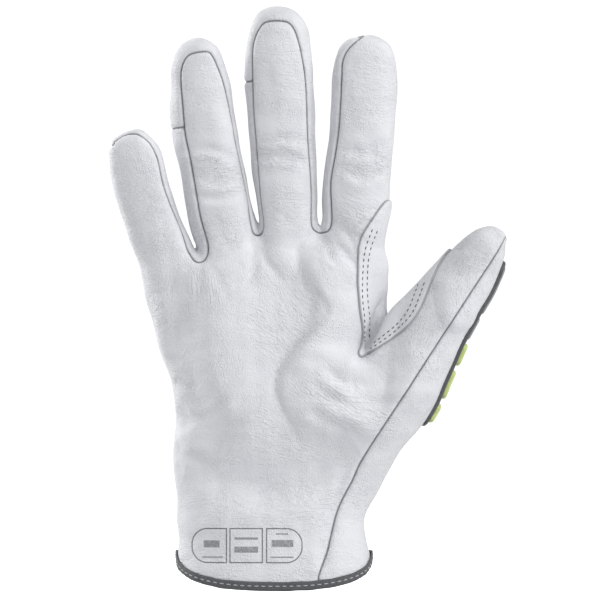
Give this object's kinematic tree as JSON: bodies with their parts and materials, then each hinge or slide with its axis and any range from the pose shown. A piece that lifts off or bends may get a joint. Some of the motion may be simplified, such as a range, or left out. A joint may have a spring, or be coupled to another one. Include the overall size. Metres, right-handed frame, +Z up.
{
  "type": "cut-resistant leather work glove",
  "caption": "Right-hand driver-style leather work glove in its worn form, with sewn fourchettes, thumb crotch patch, bound hem and raised rubber guards.",
  "frame": {"origin": "middle of the wrist opening, level with the lowest point of the hem", "axes": "+Z up from the wrist to the fingertips, +X towards the thumb, the palm faces -Y and the back of the hand faces +Y"},
  "size_m": [0.1707, 0.0506, 0.2476],
  "materials": {
    "white_leather": "matt off-white grain leather",
    "dark_binding": "dark grey woven binding tape",
    "grey_rubber": "mid grey moulded rubber",
    "pale_rubber": "light grey moulded rubber",
    "lime_rubber": "lime green moulded rubber"
  },
  "bodies": {
    "root": {"palm_leather": "white_leather", "back_leather": "white_leather", "fourchette_little_ring": "white_leather", "fourchette_ring_middle": "white_leather", "fourchette_middle_index": "white_leather", "thumb_crotch_patch": "white_leather", "cuff_binding": "dark_binding", "thumb_guard_plate": "grey_rubber", "thumb_guard_rib_1": "lime_rubber", "thumb_guard_rib_2": "lime_rubber", "thumb_guard_rib_3": "lime_rubber", "thumb_guard_rib_4": "pale_rubber", "thumb_guard_rib_5": "pale_rubber", "hand_guard_plate": "grey_rubber", "hand_guard_rib_1": "pale_rubber", "hand_guard_rib_2": "lime_rubber", "hand_guard_rib_3": "lime_rubber", "hand_guard_rib_4": "lime_rubber", "hand_guard_rib_5": "lime_rubber"}
  },
  "joints": []
}
